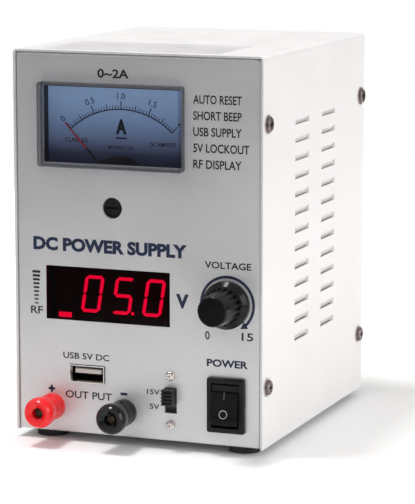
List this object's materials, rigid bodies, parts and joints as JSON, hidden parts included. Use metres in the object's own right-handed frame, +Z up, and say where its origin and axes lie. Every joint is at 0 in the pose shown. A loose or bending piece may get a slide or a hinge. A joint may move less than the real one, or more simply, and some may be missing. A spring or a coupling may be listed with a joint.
{
  "type": "bench power supply",
  "caption": "Upright bench power supply: sheet-metal case with louvres, analogue current meter, LED voltmeter, voltage knob, rocker, binding posts and USB outlet.",
  "frame": {"origin": "on the bench under the middle of the outline, at the feet's lowest face", "axes": "+Z up, the front panel faces -Y, +X to the right seen from the front"},
  "size_m": [0.1032, 0.14, 0.149],
  "materials": {
    "cover_paint": "fine satin powder coat, warm white",
    "panel_paint": "silver metallic paint, satin",
    "dark_screw": "dark nickel plate",
    "washer_steel": "nickel plate",
    "foot_rubber": "matt black rubber",
    "steel_screw": "zinc plate",
    "clear_plastic": "clear moulded styrene",
    "meter_black": "black moulded plastic",
    "dial_paper": "matt pale dial with printed scale",
    "magnet_steel": "ground magnet alloy",
    "brass": "satin brass",
    "pointer_red": "red paint",
    "copper_wire": "enamelled copper wire",
    "gloss_black": "black gloss plastic",
    "smoked_red": "smoked red acrylic filter",
    "circuit_board": "green solder mask",
    "led_lit": "lit red LED segment",
    "led_dark": "unlit red LED segment",
    "brushed_shaft": "turned aluminium",
    "switch_black": "black nylon, satin",
    "tongue_white": "off-white plastic",
    "gold_contact": "gold plate",
    "post_red": "glossy red nylon",
    "nickel_brass": "nickel-plated brass",
    "core_steel": "varnished silicon-steel laminations",
    "winding_tape": "yellow polyester tape over copper",
    "capacitor_sleeve": "dark blue sleeve",
    "sink_aluminium": "extruded aluminium",
    "relay_blue": "blue plastic case",
    "fuse_glass": "glass tube fuse"
  },
  "bodies": {
    "case": {"cover": "cover_paint", "chassis": "panel_paint", "cover_screws": "dark_screw", "cover_washers": "washer_steel", "feet": "foot_rubber", "foot_screws": "steel_screw", "meter_window": "clear_plastic", "meter_case": "meter_black", "meter_dial": "dial_paper", "meter_shroud": "meter_black", "meter_magnet": "magnet_steel", "meter_frame": "brass", "meter_nuts": "steel_screw", "display_window": "smoked_red", "display_modules": "meter_black", "display_board": "circuit_board", "display_segments_lit": "led_lit", "display_segments_dark": "led_dark", "pot_body": "washer_steel", "pot_nut": "steel_screw", "power_switch_housing": "switch_black", "power_switch_tabs": "brass", "slide_switch_case": "steel_screw", "slide_switch_screws": "dark_screw", "usb_shell": "steel_screw", "usb_tongue": "tongue_white", "usb_contacts": "gold_contact", "usb_board": "circuit_board", "red_post_collar": "post_red", "red_post_stud": "nickel_brass", "black_post_collar": "gloss_black", "black_post_stud": "nickel_brass", "post_nuts": "steel_screw", "transformer_core": "core_steel", "transformer_winding": "winding_tape", "transformer_strap": "steel_screw", "main_board": "circuit_board", "board_standoffs": "brass", "filter_capacitor": "capacitor_sleeve", "bridge_rectifier": "meter_black", "heatsink": "sink_aluminium", "power_transistor": "meter_black", "relay": "relay_blue", "buzzer": "meter_black", "inlet_housing": "switch_black", "inlet_pins": "nickel_brass", "inlet_screws": "dark_screw"},
    "knob": {"voltage_knob": "gloss_black", "pot_shaft": "brushed_shaft"},
    "power_rocker": {"power_switch_rocker": "switch_black"},
    "range_slider": {"slide_switch_actuator": "switch_black"},
    "meter_movement": {"meter_pointer": "pointer_red", "meter_coil": "copper_wire"},
    "zero_screw": {"zero_adjuster": "gloss_black"},
    "red_thread": {"red_post_insert": "nickel_brass"},
    "red_cap": {"red_post_cap": "post_red"},
    "black_thread": {"black_post_insert": "nickel_brass"},
    "black_cap": {"black_post_cap": "gloss_black"},
    "fuse_carrier": {"fuse_drawer": "switch_black", "fuse": "fuse_glass"}
  },
  "joints": [
    {"name": "voltage_turn", "type": "hinge", "parent": "case", "child": "knob", "pos_m": [0.0361, -0.0537, 0.0571], "axis": [0, 1, 0], "range_deg": [-100, 200]},
    {"name": "power_rock", "type": "hinge", "parent": "case", "child": "power_rocker", "pos_m": [0.0359, -0.0527, 0.01905], "axis": [1, 0, 0], "range_deg": [0, 20]},
    {"name": "range_slide", "type": "slide", "parent": "case", "child": "range_slider", "axis": [0, 0, -1], "range_m": [0, 0.0036]},
    {"name": "pointer_turn", "type": "hinge", "parent": "case", "child": "meter_movement", "pos_m": [-0.0083, -0.0485, 0.0971], "axis": [0, 1, 0], "range_deg": [0, 85.6]},
    {"name": "zero_turn", "type": "hinge", "parent": "case", "child": "zero_screw", "pos_m": [-0.01, -0.0537, 0.0906], "axis": [0, 1, 0], "range_deg": [-90, 90]},
    {"name": "fuse_pull", "type": "slide", "parent": "case", "child": "fuse_carrier", "axis": [0, 1, 0], "range_m": [0, 0.016]},
    {"name": "red_advance", "type": "slide", "parent": "case", "child": "red_thread", "axis": [0, -1, 0], "range_m": [0, 0.005]},
    {"name": "red_unscrew", "type": "hinge", "parent": "red_thread", "child": "red_cap", "pos_m": [-0.035, -0.0537, 0.013], "axis": [0, -1, 0], "range_deg": [0, 1805]},
    {"name": "black_advance", "type": "slide", "parent": "case", "child": "black_thread", "axis": [0, -1, 0], "range_m": [0, 0.005]},
    {"name": "black_unscrew", "type": "hinge", "parent": "black_thread", "child": "black_cap", "pos_m": [-0.0055, -0.0537, 0.013], "axis": [0, -1, 0], "range_deg": [0, 1805]}
  ],
  "couplings": [
    {"joint": "red_unscrew", "follows": "red_advance", "rad_per_m": 6283.2},
    {"joint": "black_unscrew", "follows": "black_advance", "rad_per_m": 6283.2}
  ]
}
